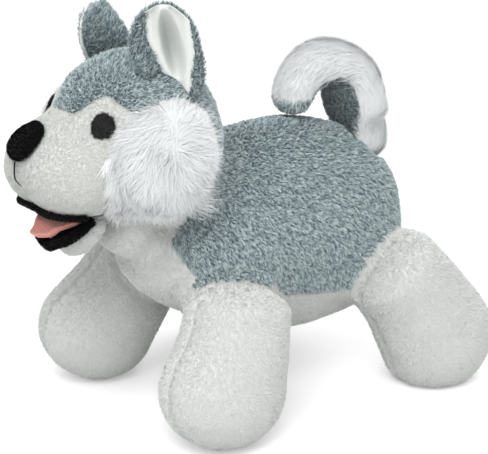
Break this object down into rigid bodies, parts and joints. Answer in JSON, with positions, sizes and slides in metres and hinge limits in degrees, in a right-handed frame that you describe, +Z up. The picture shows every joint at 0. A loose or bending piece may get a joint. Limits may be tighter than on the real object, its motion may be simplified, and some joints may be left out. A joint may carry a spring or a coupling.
{
  "type": "plush dog",
  "caption": "Standing stuffed husky dog of grey and white pile cloth, with upright cupped ears, open stitched mouth, thick round legs and a curled furry tail.",
  "frame": {"origin": "middle of the footprint's bounding box, on the floor under the soles", "axes": "-Y is the way the dog looks, +X is its own left side and +Z is up"},
  "size_m": [0.2212, 0.3441, 0.2905],
  "materials": {
    "grey_pile": "grey-blue curly teddy pile, about 3 mm",
    "white_pile": "white short velvet pile, about 1.5 mm",
    "long_white_fur": "white long straight fur, about 12 mm",
    "white_lining": "smooth white velour",
    "black_stitching": "black satin stitches",
    "black_cloth": "matt black cloth",
    "pink_felt": "pink felt",
    "fibre_fill": "polyester fibre filling",
    "bean_pouch": "cloth pouch of plastic beans"
  },
  "bodies": {
    "torso": {"saddle_left": "grey_pile", "saddle_right": "grey_pile", "chest_panel": "white_pile", "belly_panel": "white_pile", "body_stuffing": "fibre_fill"},
    "head": {"crown_left": "grey_pile", "crown_right": "grey_pile", "face_left": "white_pile", "face_right": "white_pile", "cheek_left": "long_white_fur", "cheek_right": "long_white_fur", "throat_panel": "white_pile", "mouth_lining": "black_cloth", "head_stuffing": "fibre_fill", "nose": "black_stitching", "nose_stitch": "black_stitching", "upper_lip": "black_stitching", "left_eye": "black_stitching", "right_eye": "black_stitching"},
    "lower_jaw": {"chin_panel": "white_pile", "mouth_floor": "black_cloth", "lower_lip": "black_stitching", "jaw_stuffing": "fibre_fill", "tongue": "pink_felt"},
    "left_ear": {"left_ear_back": "grey_pile", "left_ear_lining": "white_lining"},
    "right_ear": {"right_ear_back": "grey_pile", "right_ear_lining": "white_lining"},
    "tail": {"tail_back": "grey_pile", "tail_brush": "long_white_fur", "tail_stuffing": "fibre_fill"},
    "front_left_leg": {"front_left_outer": "white_pile", "front_left_inner": "white_pile", "front_left_stuffing": "fibre_fill", "front_left_beans": "bean_pouch"},
    "front_right_leg": {"front_right_outer": "white_pile", "front_right_inner": "white_pile", "front_right_stuffing": "fibre_fill", "front_right_beans": "bean_pouch"},
    "back_left_leg": {"back_left_outer": "white_pile", "back_left_inner": "white_pile", "back_left_stuffing": "fibre_fill", "back_left_beans": "bean_pouch"},
    "back_right_leg": {"back_right_outer": "white_pile", "back_right_inner": "white_pile", "back_right_stuffing": "fibre_fill", "back_right_beans": "bean_pouch"}
  },
  "joints": [
    {"name": "neck", "type": "hinge", "parent": "torso", "child": "head", "pos_m": [0, -0.08241, 0.199], "axis": [-1, 0, 0], "range_deg": [-4, 10], "stiffness_Nm_per_rad": 1.5},
    {"name": "jaw_hinge", "type": "hinge", "parent": "head", "child": "lower_jaw", "pos_m": [0, -0.12741, 0.14571], "axis": [1, 0, 0], "range_deg": [-4, 6], "stiffness_Nm_per_rad": 0.25},
    {"name": "left_ear_root", "type": "hinge", "parent": "head", "child": "left_ear", "pos_m": [0.0385, -0.07741, 0.24293], "axis": [0.5, 0.866, 0], "range_deg": [-5, 5], "stiffness_Nm_per_rad": 0.06},
    {"name": "right_ear_root", "type": "hinge", "parent": "head", "child": "right_ear", "pos_m": [-0.0385, -0.07741, 0.24293], "axis": [-0.5, 0.866, 0], "range_deg": [-5, 5], "stiffness_Nm_per_rad": 0.06},
    {"name": "tail_root", "type": "hinge", "parent": "torso", "child": "tail", "pos_m": [0, 0.11259, 0.171], "axis": [0, 0, 1], "range_deg": [-12, 12], "stiffness_Nm_per_rad": 0.2},
    {"name": "front_left_shoulder", "type": "hinge", "parent": "torso", "child": "front_left_leg", "pos_m": [0.064, -0.04341, 0.086], "axis": [1, 0, 0], "range_deg": [-10, 10], "stiffness_Nm_per_rad": 3},
    {"name": "front_right_shoulder", "type": "hinge", "parent": "torso", "child": "front_right_leg", "pos_m": [-0.064, -0.04341, 0.086], "axis": [1, 0, 0], "range_deg": [-10, 10], "stiffness_Nm_per_rad": 3},
    {"name": "back_left_hip", "type": "hinge", "parent": "torso", "child": "back_left_leg", "pos_m": [0.064, 0.09159, 0.088], "axis": [1, 0, 0], "range_deg": [-10, 10], "stiffness_Nm_per_rad": 3},
    {"name": "back_right_hip", "type": "hinge", "parent": "torso", "child": "back_right_leg", "pos_m": [-0.064, 0.09159, 0.088], "axis": [1, 0, 0], "range_deg": [-10, 10], "stiffness_Nm_per_rad": 3}
  ]
}
